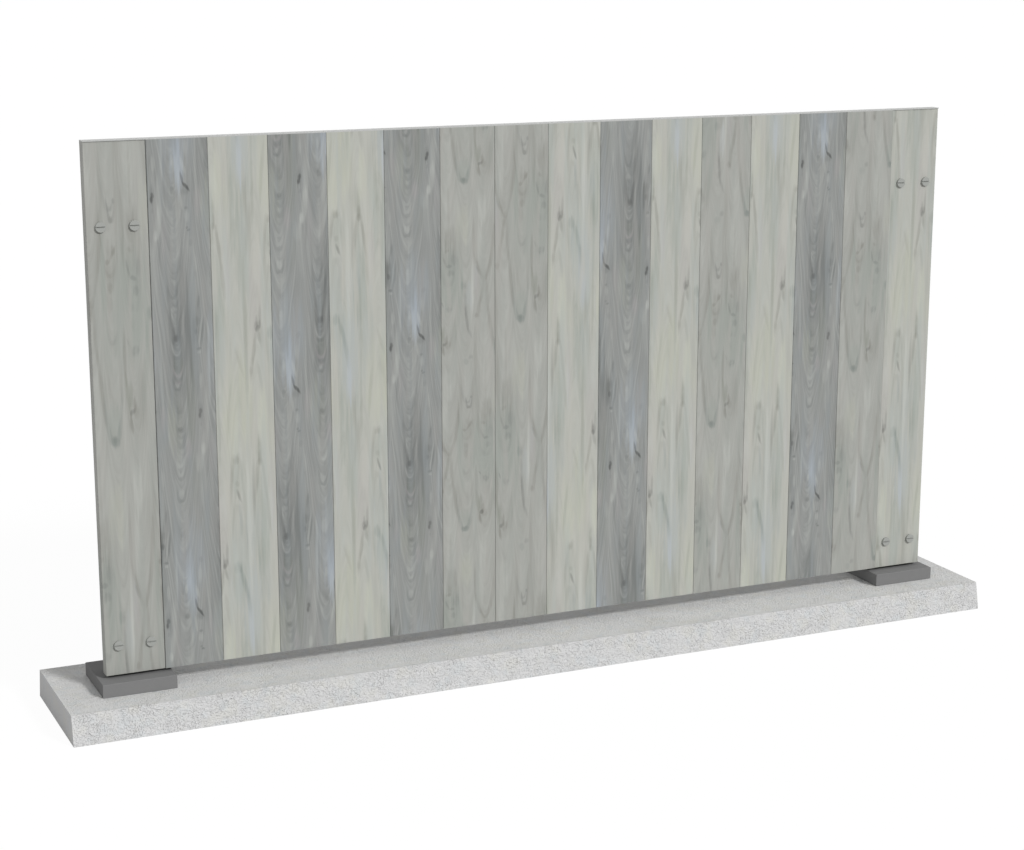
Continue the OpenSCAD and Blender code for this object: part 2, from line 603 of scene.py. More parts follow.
@dataclass(frozen=True)
class Decor:
    """One printed wood decor: its ground, rings and fibres, and its marks in the order of printing."""

    name: str
    ground: Display
    cool: Display
    warm: Display
    fibre: float
    figure: Figure
    marks: Sequence[Mark]
    tinted: float = 0.6

    @cache
    def group(self) -> Graph:
        """Makes the decor's node group once.

        Returns:
            The graph of a group that takes a place on the board and gives colour and height.
        """
        graph = Graph.group(
            f"decor_{self.name}", {Port.VECTOR: "Place"}, {Port.COLOUR: "Colour", Port.NUMBER: "Height"}
        )
        tile = graph.place(tile_group(), Place=graph.inlet["Place"])
        colour = self.figure.print_on(graph, paint(self.ground), tile["Flat"])
        for mark in self.marks:
            colour = mark.print_on(graph, colour, tile)
        fibre = graph.place(
            fibre_group(), Colour=colour, Flat=tile["Flat"], Fibre=self.fibre, Cool=paint(self.cool),
            Warm=paint(self.warm), Tinted=self.tinted,
        )
        graph.give(Colour=fibre["Colour"], Height=fibre["Height"])
        return graph


DRIFTWOOD_MARKS = (
    # Broad shading
    *each(Blot, SLATE, (0.32, 34, 785, 11, 190), (0.29, 41, 762, 12, 105), (0.14, 34, 730, 26, 130),
        (0.20, 12, 690, 13, 90), (0.20, 14, 20, 10, 30), (0.14, 9, 855, 14, 90), (0.15, 17, 785, 8, 50),
        (0.16, 83, 445, 7, 60), (0.10, 6, 460, 9, 24), (0.10, 50, 460, 7, 22), (0.10, 52, 862, 10, 36),
        (0.14, 26, 866, 7, 50), (0.08, 94, 340, 7, 60)),
    *each(Blot, MIST, (0.10, 70, 505, 6.4, 60), (0.06, 44, 575, 8, 30), (0.06, 22, 275, 7, 40)),
    Blot(ICE, 0.06, 34, 425, 8, 24), Blot(ICE, 0.06, 14, 425, 8, 24), Blot(SLATE, 0.06, 58, 165, 6, 50),
    Blot(STRAW, 0.06, 8, 50, 18, 90), Blot(MOSS, 0.06, 8, 50, 18, 90), Blot(MIST, 0.10, 24, 496, 7, 30),
    Blot(ICE, 0.06, 58, 360, 9, 45),
    *each(Blot, SLATE, (0.14, 53, 790, 7, 110), (0.17, 60, 712, 7, 54), (0.08, 53, 625, 5, 36),
        (0.26, 27, 660, 6.4, 66), (0.20, 14, 800, 20, 130)),
    Blot(MOSS, 0.20, 38, 5, 16, 120), Blot(MOSS, 0.18, 14, 822, 14, 24), Blot(SLATE, 0.08, 68, 420, 12, 150),
    Blot(MOSS, 0.10, 42, 160, 14, 70), Blot(ICE, 0.20, 24, 345, 26, 120), Blot(ICE, 0.26, 26, 385, 14, 80),
    Blot(MIST, 0.14, 12, 305, 9, 22), Blot(MIST, 0.07, 10, 200, 18, 70), Blot(ROSE, 0.24, 29, 100, 10, 30),
    Blot(ROSE, 0.22, 64, 485, 9, 40),
    *each(Blot, MIST, (0.16, 70, 25, 7, 60), (0.08, 52, 670, 8, 60), (0.10, 56, 165, 12, 75),
        (0.07, 12, 560, 7, 55), (0.06, 20, 285, 6, 40), (0.06, 15, 105, 8, 50)),
    Blot(STRAW, 0.08, 80, 495, 12, 80), Blot(ICE, 0.14, 47, 335, 11, 90), Blot(MIST, 0.12, 47, 128, 6, 26),
    Blot(ROSE, 0.14, 78, 110, 8, 60),
    # Upright strands
    streak(SLATE, 0.12, 66, 320, 70, 640, 4.0), streak(MIST, 0.12, 62, 320, 64, 540, 3.6),
    *each(streak, SLATE, (0.15, 56, 410, 57, 510, 4.4), (0.16, 80, 200, 83, 310, 6.0),
        (0.14, -3, 640, -2, 900, 3.4), (0.12, 74, 300, 82, 560, 5.0), (0.16, 66, 170, 93, 480, 8.0),
        (0.14, 78, 100, 84, 290, 3.4), (0.16, 73, 90, 64, 175, 3.4)),
    streak(MIST, 0.16, 78, 730, 76, 910, 5.4), streak(ICE, 0.18, 82, 720, 80, 900, 9.0),
    streak(SLATE, 0.14, 73, 660, 76, 900, 3.4), streak(MIST, 0.10, 29, 464, 14, 615, 7.0),
    # Blue-white streak with its branch
    streak(ICE, 0.30, 26, 345, 26, 478, 9.0),
    *each(streak, MIST, (0.12, 26, 385, 26, 470, 6.0), (0.17, 28, 456, 34, 502, 3.6),
        (0.15, 32, 392, 41, 430, 5.0)),
    Blot(MIST, 0.12, 44, 376, 6, 22), Blot(MIST, 0.18, 14, 402, 4, 14),
    streak(SLATE, 0.18, -3, 320, -2, 510, 3.4), Blot(SLATE, 0.16, 47, 343, 6, 10),
    # Black tick below it
    Blot(SLATE, 0.32, 42, 463, 9, 13), streak(INK, 0.40, 31, 422, 38, 456, 3.4, 0.8),
    streak(INK, 0.62, 34, 443, 50, 468, 4.4), Blot(SLATE, 0.30, 15, 462, 7.0, 9),
    Blot(SLATE, 0.34, 41, 498, 5, 4), Blot(MIST, 0.16, 42, 514, 7, 15),
    *each(Blot, SLATE, (0.34, 41, 537, 3.6, 4), (0.46, 45, 543, 5.6, 3.4), (0.18, 48, 570, 5, 10)),
    # Dark strand beside the rings
    streak(SLATE, 0.30, 29, 545, 26, 740, 4.4), streak(SLATE, 0.26, 24, 590, 12, 688, 6.0, -2.0),
    streak(INK, 0.16, 25, 650, 18, 770, 4.6, -2.0), Blot(SLATE, 0.38, 49, 752, 9, 36),
    Blot(UMBER, 0.16, 50, 735, 7, 24),
    # Column of rings that come to a point
    Arch(SLATE, 0.08, 10, 640, 13, 40, 3.4), Arch(SLATE, 0.26, 8, 682, 12, 40, 3.6, 1.4),
    Blot(MIST, 0.12, 9, 706, 8, 9), Arch(SLATE, 0.12, 10, 735, 13, 40, 4.0),
    Arch(INK, 0.30, 12, 767, 14, 56, 6.0, 2.4), Blot(INK, 0.28, 12, 763, 8, 9),
    Arch(SLATE, 0.34, 12, 778, 13, 28, 3.4, 1.6), Arch(SLATE, 0.30, 13, 789, 13, 30, 3.4, 1.6),
    Arch(MIST, 0.12, 11, 800, 13, 30, 3.4, 1), Arch(SLATE, 0.30, 11, 808, 13, 30, 4.0, 1.6),
    Arch(SLATE, 0.16, 12, 832, 13, 34, 5.0, 2.4), Arch(ROSE, 0.22, 12, 843, 13, 30, 4.4, 1),
    Blot(ROSE, 0.18, 13, 857, 8, 8), Arch(SLATE, 0.24, 13, 855, 13, 34, 3.4, 1.6),
    Blot(MIST, 0.14, 10, 866, 8, 7),
    *each(Arch, SLATE, (0.28, 11, 873, 12, 40, 3.6, 1.4), (0.16, 14, 20, 12, 34, 4.0, 1.4),
        (0.26, 14, 61, 14, 32, 4.4, 1.6)),
    Blot(INK, 0.22, 13, 55, 6, 7),
    *each(Arch, SLATE, (0.18, 15, 76, 12, 34, 3.4, 1.4), (0.20, 14, 96, 12, 34, 5.0, 2),
        (0.10, 13, 112, 12, 38, 3.4, 1.4)),
    Arch(MIST, 0.10, 11, 137, 9, 18, 4.0, 1.4), Arch(MIST, 0.13, 11, 155, 11, 28, 4.4, 1.4),
    Arch(SLATE, 0.10, 12, 165, 12, 34, 3.4, 1.4), Blot(MIST, 0.14, 10, 198, 9, 14),
    Arch(SLATE, 0.30, 11, 211, 12, 32, 4.4, 1.4),
    # Black spots and the pale wisp
    Blot(SLATE, 0.28, 57, 22, 7, 28), Blot(INK, 0.54, 57.5, 21, 4.6, 8), Blot(INK, 0.60, 55.5, 30, 4.4, 8),
    Blot(SLATE, 0.18, 57, 50, 4, 7), streak(MIST, 0.17, 71, 35, 58, 122, 9.0, -2.5),
    Blot(MIST, 0.24, 60.5, 101, 6, 14), streak(MIST, 0.08, 60, 100, 51, 155, 7.0),
    # Pale scribble with its dark rims
    Blot(INK, 0.34, 53, 755, 4.6, 9), Blot(SLATE, 0.20, 57, 732, 7.0, 12),
    streak(SLATE, 0.42, 69, 718, 61, 790, 3.4, -1.0), streak(MIST, 0.16, 65, 718, 58, 784, 3.0, -0.6),
    streak(SLATE, 0.30, 61, 740, 55, 784, 2.6), Blot(SLATE, 0.44, 57, 790, 6.6, 4),
    Blot(MIST, 0.16, 58, 797, 5, 4), streak(SLATE, 0.26, 62, 676, 58, 708, 3.4),
    Blot(MIST, 0.10, 56, 615, 5, 22), Blot(MIST, 0.14, 60, 858, 5, 22),
)
DRIFTWOOD = Decor(
    "driftwood", (144, 146, 144), (139, 144, 145), (148, 148, 145), 0.075,
    Figure(12, 84, 0.15, 19, 0.16, 0.19, SLATE, MIST), DRIFTWOOD_MARKS,
)

ASH_MARKS = (
    # Broad shading
    Blot(SAGE, 0.34, 48, 285, 46, 110), Blot(SLATE, 0.14, 62, 242, 14, 44),
    *each(Blot, UMBER, (0.16, 9, 238, 15, 46), (0.16, 66, 205, 9, 34), (0.14, 21, 400, 5, 56)),
    Blot(MOSS, 0.24, 40, 424, 6, 26), Blot(MIST, 0.13, 54, 60, 17, 150), Blot(MIST, 0.08, 12, 95, 12, 70),
    Blot(STRAW, 0.15, 8, 600, 14, 62), Blot(STRAW, 0.08, 76, 150, 10, 55), Blot(MIST, 0.18, 46, 565, 14, 50),
    Blot(MIST, 0.14, 42, 650, 11, 60),
    *each(Blot, SAGE, (0.26, 3, 462, 16, 34), (0.34, 76, 705, 9, 80), (0.20, 82, 800, 9, 60),
        (0.18, 14, 350, 9, 24)),
    *each(Blot, UMBER, (0.12, 64, 430, 12, 60), (0.22, 52, 186, 11, 46), (0.20, 5, 286, 7, 24),
        (0.20, 62, 172, 7, 34), (0.09, 36, 140, 7, 80), (0.08, 44, 232, 6.4, 40), (0.07, 77, 625, 6.4, 60),
        (0.09, 48, 732, 9, 30), (0.05, 16, 742, 10, 30), (0.06, 78, 870, 8, 30)),
    *each(Blot, MIST, (0.06, 76, 100, 9, 60), (0.05, 42, 620, 9, 90), (0.06, 24, 860, 7, 30),
        (0.06, 58, 540, 10, 60)),
    *each(Blot, UMBER, (0.10, 20, 228, 6, 40), (0.10, 37, 456, 7, 24), (0.08, 70, 612, 9, 52)),
    Blot(SLATE, 0.06, 17, 122, 12, 60),
    *each(Blot, MIST, (0.08, 16, 595, 8, 85), (0.06, 38, 535, 9, 30), (0.07, 50, 775, 6, 32),
        (0.06, 10, 806, 6, 30), (0.06, 6, 650, 7, 50)),
    Blot(FROST, 0.12, 28, 732, 8, 48), Blot(FROST, 0.26, 16, 782, 9, 44), Blot(TEAL, 0.20, 2, 754, 9, 12),
    Blot(ROSE, 0.18, 34, 755, 8, 40), Blot(UMBER, 0.08, 70, 860, 12, 60),
    # Great ring with its thick blue tip
    Arch(TEAL, 0.24, 3, 492, 22, 92, 5.4, 1.6), Blot(TEAL, 0.24, 3, 491, 12, 10),
    Blot(INK, 0.08, 4, 487, 10, 6), streak(MIST, 0.14, 25, 430, 25, 515, 4.0),
    # Knot with the ring that hangs around it
    Arch(UMBER, 0.05, 49, 470, 28, 150, 8.0, 1.6), streak(SAGE, 0.22, 82, 290, 61, 464, 8.0, -4.0),
    streak(UMBER, 0.26, 30.5, 320, 31, 412, 5.0), streak(MOSS, 0.24, 30, 385, 37, 455, 5.6, 1.0),
    Blot(UMBER, 0.30, 47, 440, 7, 15), Blot(INK, 0.38, 42, 450, 6.4, 7), Blot(UMBER, 0.22, 50, 452, 9, 14),
    streak(UMBER, 0.34, 38, 450, 42, 484, 4.4, 1.4),
    # Rings right of the middle
    Blot(UMBER, 0.22, 48, 215, 7, 6), streak(SLATE, 0.22, 40, 228, 50, 257, 3.8, 1.0),
    *each(Blot, SLATE, (0.28, 54, 254, 8, 5), (0.18, 65, 236, 9, 18), (0.22, 58, 272, 8, 10)),
    Arch(SLATE, 0.10, 54, 300, 16, 34, 5.0), streak(SLATE, 0.24, 36, 340, 41, 354, 2.6),
    Blot(SLATE, 0.20, 53, 361, 9, 8), Arch(SLATE, 0.10, 52, 368, 10, 22, 4.0, 1.4),
    Arch(SLATE, 0.12, 8, 344, 11, 22, 4.0, 1.6),
    # Rings left of the middle
    streak(SLATE, 0.14, -5, 105, 5, 160, 4.0, 0.6), Arch(SLATE, 0.26, 14, 172, 10, 36, 3.6, 1.6),
    Arch(SLATE, 0.20, 12, 157, 8, 16, 3.0, 1.6), Blot(SLATE, 0.28, 19.5, 144, 3.6, 5),
    Blot(UMBER, 0.20, 13, 170, 6, 6), streak(UMBER, 0.24, 21, 205, 5, 233, 4.4, -1.0),
    Blot(UMBER, 0.26, 3, 228, 5, 6), Blot(UMBER, 0.16, 15, 214, 8, 9),
    Arch(UMBER, 0.14, 8, 251, 12, 18, 4.0, 1.4), Blot(UMBER, 0.22, 7, 268, 8, 10),
    Blot(SLATE, 0.20, 18, 38, 7, 8), Blot(TEAL, 0.14, 8, 49, 9, 10),
    # Upright lines
    *each(streak, UMBER, (0.18, 29, -60, 30, 120, 6.0), (0.17, 29, 80, 36, 250, 6.4),
        (0.15, 24, 60, 23, 235, 4.4), (0.12, 53, 40, 54, 175, 3.6), (0.16, 77, 500, 80, 640, 5.0),
        (0.06, 79, 130, 80, 300, 5.0)),
    streak(SAGE, 0.14, 82, 280, 85, 450, 4.6),
    # Second ring and the crossing below it
    streak(UMBER, 0.26, 26, 580, 27, 705, 4.2), streak(UMBER, 0.26, 26, 665, 49, 742, 4.4, 5.2),
    streak(INK, 0.18, 30.5, 705, 40, 733, 3.2, 0.5), Arch(UMBER, 0.14, 50, 740, 13, 34, 5.0, 2),
    *each(streak, UMBER, (0.28, 74, 600, 55, 745, 6.0, -6.0), (0.28, 51, 734, 40, 812, 5.0, -1.6),
        (0.22, 42, 780, 34, 850, 6.0)),
    Blot(UMBER, 0.32, 33, 834, 6.6, 9), streak(UMBER, 0.20, 55, 728, 60, 840, 5.4, 0.6),
    streak(UMBER, 0.22, 59, 800, 73, 925, 5.6, 1.6),
    # White line and the dark slant beside it
    streak(MIST, 0.16, 21, 720, 20, 840, 8.0), streak(MIST, 0.28, 23.5, 674, 24, 822, 4.2),
    streak(SLATE, 0.20, 6, 765, 9, 842, 4.6), streak(INK, 0.28, 7.5, 804, 14, 882, 4.8, 0.6),
    streak(SLATE, 0.18, 13, 862, 22, 892, 3.8),
)
ASH = Decor(
    "ash", (163, 164, 159), (157, 160, 155), (167, 166, 161), 0.05,
    Figure(8, 42, 0.22, 30, 0.07, 0.12, UMBER, MIST), ASH_MARKS,
)

BIRCH_MARKS = (
    # Broad shading
    Blot(STRAW, 0.16, 64, 160, 22, 120), Blot(STRAW, 0.09, 70, 195, 13, 55), Blot(MOSS, 0.10, 6, 575, 14, 90),
    Blot(MOSS, 0.12, 32, 670, 8, 40), Blot(ICE, 0.14, 1, 110, 8, 70), Blot(SAGE, 0.14, 63, 60, 8, 90),
    Blot(UMBER, 0.10, 22, 350, 5, 64), Blot(FROST, 0.16, 64, 820, 8, 70), Blot(STRAW, 0.20, 12, 590, 20, 95),
    Blot(STRAW, 0.22, 48, 625, 14, 70),
    *each(Blot, SAGE, (0.24, 14, 110, 26, 190), (0.20, 44, 20, 16, 130), (0.30, 10, 300, 15, 120)),
    Blot(UMBER, 0.20, 28, 268, 9, 70),
    *each(Blot, SAGE, (0.20, 72, 430, 22, 120), (0.24, 73, 285, 13, 50), (0.26, 74, 500, 14, 60),
        (0.30, 38, 835, 20, 115)),
    Blot(FROST, 0.10, 74, 430, 18, 110), Blot(FROST, 0.30, 16, 90, 22, 120),
    Blot(ROSE, 0.24, 38, 380, 18, 120), Blot(ROSE, 0.20, 64, 775, 10, 80), Blot(MIST, 0.16, 43, 330, 11, 60),
    Blot(SAGE, 0.20, 77, 690, 9, 120), Blot(MOSS, 0.10, 74, 640, 7, 90), Blot(SAGE, 0.14, 4, 760, 7, 90),
    Blot(MOSS, 0.10, 74, 560, 8, 30),
    *each(Blot, UMBER, (0.09, 18, 282, 6.4, 36), (0.06, 28, 190, 6.4, 30), (0.09, 88, 400, 7, 50),
        (0.10, 60, 482, 8, 40)),
    *each(Blot, FROST, (0.12, 53, 470, 6.4, 90), (0.10, 36, 40, 6.4, 60), (0.10, 80, 350, 9, 40),
        (0.16, 34, 830, 9, 50)),
    Blot(STRAW, 0.10, 66, 455, 6.4, 50),
    *each(Blot, MIST, (0.10, 53, 695, 6.4, 60), (0.12, 58, 795, 6.4, 44), (0.08, 40, 620, 8, 60),
        (0.07, 66, 250, 8, 40)),
    Blot(UMBER, 0.08, 12, 860, 6.4, 50), Blot(MIST, 0.12, 82, 288, 6.4, 50),
    *each(Blot, UMBER, (0.13, 50, 470, 6, 32), (0.07, 60, 335, 5, 30), (0.09, 63, 620, 7, 90)),
    *each(Blot, MIST, (0.14, 81, 250, 6, 38), (0.08, 46, 640, 6, 60), (0.08, 43, 862, 6, 50)),
    *each(Blot, STRAW, (0.12, 4, 520, 14, 50), (0.08, 6, 650, 8, 60), (0.10, 52, 182, 8, 40),
        (0.10, 66, 655, 8, 40)),
    *each(Blot, FROST, (0.14, 16, 850, 16, 60), (0.12, 50, 50, 12, 60), (0.12, 14, 265, 8, 60)),
    streak(FROST, 0.16, 60, 380, 78, 600, 8.0),
    # Blue streak and the dark line that joins it
    streak(MIST, 0.16, 13, -60, 13, 90, 5.4), streak(FROST, 0.42, 13, 80, 12.5, 200, 7.4),
    streak(ICE, 0.10, 13, 110, 12.5, 195, 4.4), streak(TEAL, 0.12, -8, 12, 8, 100, 6.0, -1.8),
    # Upright lines
    streak(MOSS, 0.08, 38, -60, 38, 150, 6.0), streak(MOSS, 0.18, 38, 110, 37, 272, 4.0),
    streak(UMBER, 0.18, 19, 135, 26, 285, 6.0), streak(MOSS, 0.17, 66, 95, 53, 228, 5.0, 1.4),
    streak(UMBER, 0.06, 75, 32, 91, 88, 4.6), streak(MOSS, 0.24, 15, 310, 16, 610, 5.8),
    streak(MOSS, 0.10, 22, 560, 24, 700, 6.0), streak(MIST, 0.26, 12, 690, 13, 930, 6.0),
    streak(MIST, 0.12, 61, 690, 62, 850, 5.0),
    # Flame with a dark point
    Arch(UMBER, 0.15, 72, 244, 17, -80, 6.0, 2), Blot(UMBER, 0.20, 72, 250, 9, 9),
    streak(UMBER, 0.16, 65, 252, 57, 345, 5.0, 1.6), Blot(UMBER, 0.16, 72, 298, 6, 8),
    # Second flame and the black tick on it
    Arch(UMBER, 0.10, 71, 342, 14, -70, 5.0, 2), streak(INK, 0.32, 71, 307, 80, 334, 4.2, 0.6),
    streak(UMBER, 0.09, 78, 322, 90, 375, 5.0, -1.2), Blot(TEAL, 0.07, 80, 375, 7, 30),
    # Star knot with its legs
    streak(INK, 0.18, 39, 425, 41, 455, 4.0), streak(INK, 0.18, 48, 405, 46, 460, 4.4),
    Blot(INK, 0.27, 42, 447, 8.4, 13), Blot(INK, 0.32, 41, 453, 6.0, 8),
    streak(INK, 0.20, 41, 452, 47, 484, 4.8, 0.4), streak(UMBER, 0.28, 37, 452, 28, 524, 5.0, -0.6),
    streak(UMBER, 0.20, 30, 495, 24, 556, 5.0), Blot(UMBER, 0.14, 25, 530, 4.4, 12),
    streak(UMBER, 0.13, 39, 508, 48, 575, 5.0),
    # Thick blue-green stroke
    Blot(TEAL, 0.18, 69, 462, 10, 16), streak(TEAL, 0.17, 69, 450, 92, 528, 7.0, -1.4),
    streak(TEAL, 0.10, 86, 495, 95, 570, 6.0, -0.8), streak(UMBER, 0.07, -12, 480, 9, 545, 5.0, -1.5),
    # Great flame
    Blot(MOSS, 0.18, 38, 690, 7, 36), Blot(UMBER, 0.24, 38.5, 698, 5.4, 18), Blot(UMBER, 0.20, 39, 709, 9, 9),
    *each(streak, UMBER, (0.28, 42, 702, 54, 792, 5.0, -1.0), (0.20, 52, 765, 58, 850, 5.4),
        (0.22, 35, 704, 24, 790, 6.4, 0.8)),
    streak(SLATE, 0.22, 25, 690, 24, 830, 5.4), streak(TEAL, 0.12, 33, 800, 34, 930, 9.0),
)
BIRCH = Decor(
    "birch", (179, 180, 173), (173, 178, 173), (184, 183, 175), 0.045,
    Figure(39, 42, -0.30, 60, 0.04, 0.10, MOSS, MIST), BIRCH_MARKS,
)


@dataclass(frozen=True)
class BoardFinish:
    """Print of one board: its decor, and where the decor's main mark lies on it.

    Across counts in millimetres from the board's left edge and down from the top of the panel;
    repeat is the length of the tile on this board.
    """

    node: str
    decor: Decor
    across: float
    down: float
    repeat: float

    def material(self, corner: Vector, top: float) -> bpy.types.Material:
        """Makes the board's material.

        Args:
            corner: Lowest corner of the board in metres.
            top: Top of the panel in metres.

        Returns:
            The material.
        """
        material = bpy.data.materials.new(f"{self.decor.name}_{self.node}")
        graph = new_graph(material)
        parts = TILE_PARTS / self.repeat
        across = TILE_WIDTH / 2 - self.across - corner.x / MM
        down = TILE_PARTS / 2 + (top / MM - self.down) * parts
        place = object_place(graph, (across, -corner.y / MM, down), (1 / MM, 1 / MM, -parts / MM))
        printed = graph.place(self.decor.group(), Place=place)
        graph.shade(
            Base_Color=printed["Colour"], Roughness=graph.remap(printed["Height"], 0.45, 1.05, 0.62, 0.48),
            Specular_IOR_Level=0.3, Normal=graph.bump(printed["Height"], 0.00025, 0.35),
        )
        return material


BOARD_FINISHES = tuple(BoardFinish(*row) for row in (
    ("end_board_left", ASH, 78, 549, 1260), ("board_02", DRIFTWOOD, 78, 93, 885),
    ("board_03", BIRCH, 94, 393, 990), ("board_04", DRIFTWOOD, 50, 525, 910),
    ("board_05", BIRCH, 71, 843, 930), ("board_06", DRIFTWOOD, 80, 436, 795),
    ("board_07", ASH, 91, 80, 760), ("board_08", ASH, 98, 373, 1005), ("board_09", BIRCH, 29, 203, 955),
    ("board_10", DRIFTWOOD, 101, 745, 868), ("board_11", BIRCH, 92, 375, 940),
    ("board_12", ASH, 77, 656, 955), ("board_13", BIRCH, 92, 392, 990),
    ("board_14", DRIFTWOOD, 80, 93, 800), ("board_15", ASH, 80, 558, 945),
    ("end_board_right", BIRCH, 94, 243, 1020),
))


# ---- plain finishes


@cache
def grit_group() -> Graph:
    """Makes the group for the fine unevenness of coats and mouldings.

    Returns:
        The graph of a group that shades a colour, and gives a height and a roughness share.
    """
    graph = Graph.group(
        "surface_grit",
        {Port.COLOUR: "Colour", Port.VECTOR: "Place", Port.NUMBER: "Grain Depth Cloud"},
        {Port.COLOUR: "Colour", Port.NUMBER: "Height Share"},
    )
    source = graph.inlet
    fine = graph.noise(graph.scale(source["Place"], source["Grain"]), (1, 1, 1), 3.0, 0.6)
    cloud = graph.noise(source["Place"], (9, 9, 9), 3.0, 0.55)
    shade = 1.0
    for noise, depth in ((fine, "Depth"), (cloud, "Cloud")):
        shade = graph.math("MULTIPLY_ADD", graph.math("SUBTRACT", noise, 0.5), source[depth], shade)
    graph.give(Colour=graph.scale(source["Colour"], shade), Height=fine, Share=cloud)
    return graph


@dataclass(frozen=True)
class CoatFinish:
    """A plain coated or moulded surface with a fine grain."""

    name: str
    colour: Display
    grain: float
    depth: float
    cloud: float
    rough_low: float
    rough_high: float
    bump: float
    specular: float = 0.5
    metallic: float = 0.0

    def material(self) -> bpy.types.Material:
        """Makes the material.

        Returns:
            The material.
        """
        material = bpy.data.materials.new(self.name)
        graph = new_graph(material)
        skin = graph.place(
            grit_group(), Colour=paint(self.colour), Place=object_place(graph), Grain=self.grain,
            Depth=self.depth, Cloud=self.cloud,
        )
        graph.shade(
            Base_Color=skin["Colour"],
            Roughness=graph.remap(skin["Share"], 0.3, 0.7, self.rough_low, self.rough_high),
            Normal=graph.bump(skin["Height"], self.bump), Specular_IOR_Level=self.specular,
            Metallic=self.metallic,
        )
        return material


PLATE_PAINT = CoatFinish("plate_paint", (127, 127, 127), 900, 0.08, 0.05, 0.60, 0.75, 0.00010, 0.03)
POST_COAT = CoatFinish("post_coat", (122, 123, 123), 1600, 0.06, 0.05, 0.42, 0.55, 0.00005, 0.4)
CAP_PLASTIC = CoatFinish("cap_plastic", (88, 89, 89), 1200, 0.05, 0.04, 0.45, 0.58, 0.00005)
TRIM_PLASTIC = CoatFinish("trim_plastic", (184, 185, 183), 1400, 0.03, 0.03, 0.42, 0.52, 0.00003, 0.4)
SCREW_PAINT = CoatFinish("screw_paint", (158, 160, 156), 1500, 0.05, 0.05, 0.40, 0.52, 0.00004, 0.4)
ZINC_COAT = CoatFinish("zinc_coat", (150, 152, 153), 1300, 0.10, 0.10, 0.34, 0.52, 0.00004, 0.5, 0.6)


@dataclass(frozen=True)
class CastFinish:
    """A cement skin: pits and whirling float strokes in patches, warm and cool spots, and a top painted
    lighter as painted light.

    Grains are counted to the metre. The two ends are smooth, as the mould leaves them.
    """

    name: str = "concrete_float"
    colour: Display = (212, 212, 212)
    # Lighter colour for the upward faces: painted light on the top
    lit_top: Display = (217, 217, 216)
    warm: Display = (215, 214, 208)
    cool: Display = (208, 212, 214)
    patch: float = 26.0
    stroke: float = 130.0
    whirl: float = 13.0
    turns: float = 18.0
    lump: float = 230.0
    pit: float = 430.0
    pit_depth: float = 0.8
    pit_shade: float = 0.15
    bump: float = 0.00128

    def material(self) -> bpy.types.Material:
        """Makes the material.

        Returns:
            The material.
        """
        material = bpy.data.materials.new(self.name)
        graph = new_graph(material)
        place = object_place(graph)
        normal = graph.add("ShaderNodeNewGeometry").outputs["Normal"]
        facing = graph.add("ShaderNodeSeparateXYZ", normal).outputs

        def spread(grain: float, low: float, high: float, least: float) -> Socket:
            """Noise of a grain, spread from the least value up to 1."""
            return graph.remap(graph.noise(place, (grain, grain, grain), 2.0, 0.55), low, high, least)

        end = graph.remap(graph.math("ABSOLUTE", facing["X"]), 0.6, 0.9, 1.0, 0.08)
        flat = graph.remap(facing["Z"], 0.6, 0.9, 1.0, 0.75)
        rough = graph.times(spread(self.patch, 0.38, 0.60, 0.66), graph.times(end, flat))
        pits = graph.times(spread(self.pit, 0.54, 0.68, 0.0), rough)
        whirl = graph.add("ShaderNodeTexVoronoi", Vector=place, Scale=self.whirl).outputs["Distance"]
        stroke = graph.noise(place, (self.stroke, self.stroke, self.stroke), 1.0)
        stroke.node.noise_dimensions = "4D"
        graph.feed(stroke.node.inputs["W"], graph.times(whirl, self.turns))
        lumps = graph.times(graph.ease(stroke, 0.36, 0.50), spread(self.lump, 0.30, 0.70, 0.5))
        # Upward faces take the lighter colour: painted light where the top faces the sky and sun
        colour = graph.mix(graph.remap(facing["Z"], 0.6, 0.9), paint(self.colour), paint(self.lit_top))
        for stretch, low, tint in ((1.1, 0.50, self.warm), (1.3, 0.52, self.cool)):
            share = graph.times(spread(self.patch * stretch, low, 0.66, 0.0), 0.5)
            colour = graph.mix(share, colour, paint(tint))
        height = graph.math("MULTIPLY_ADD", pits, -self.pit_depth, graph.times(lumps, rough))
        graph.shade(
            Base_Color=graph.scale(colour, graph.math("MULTIPLY_ADD", pits, -self.pit_shade, 1.0)),
            Normal=graph.bump(height, self.bump), Roughness=0.9, Specular_IOR_Level=0.2,
        )
        return material


CONCRETE = CastFinish()


# ---- modelling


def mode(name: str) -> None:
    """Goes to edit mode or back to object mode."""
    bpy.ops.object.mode_set(mode=name)


def deselect() -> None:
    """Deselects every object."""
    bpy.ops.object.select_all(action="DESELECT")


def activate(piece: bpy.types.Object) -> None:
    """Makes a piece the only selected and active object.

    Args:
        piece: The piece.
    """
    deselect()
    piece.select_set(True)
    bpy.context.view_layer.objects.active = piece


def name_piece(name: str) -> bpy.types.Object:
    """Names the newly added piece, and puts its place and turn into its mesh.

    Args:
        name: The name.

    Returns:
        The piece.
    """
    piece = bpy.context.object
    piece.name = piece.data.name = name
    activate(piece)
    bpy.ops.object.transform_apply(location=True, rotation=True, scale=True)
    return piece


def edit(piece: bpy.types.Object, parts: str, chosen: Sequence[bool]) -> None:
    """Enters edit mode with some parts of a piece selected.

    Args:
        piece: The piece.
        parts: Either edges or polygons.
        chosen: Whether each of them is selected.
    """
    activate(piece)
    mode("EDIT")
    bpy.ops.mesh.select_mode(type="EDGE" if parts == "edges" else "FACE")
    bpy.ops.mesh.select_all(action="DESELECT")
    mode("OBJECT")
    getattr(piece.data, parts).foreach_set("select", chosen)
    mode("EDIT")


def edit_edges(piece: bpy.types.Object, wanted: Callable[[Vector, Vector], bool]) -> None:
    """Enters edit mode with the edges selected whose two ends pass a test."""
    ends = [[piece.data.vertices[index].co for index in edge.vertices] for edge in piece.data.edges]
    edit(piece, "edges", [wanted(first, second) for first, second in ends])


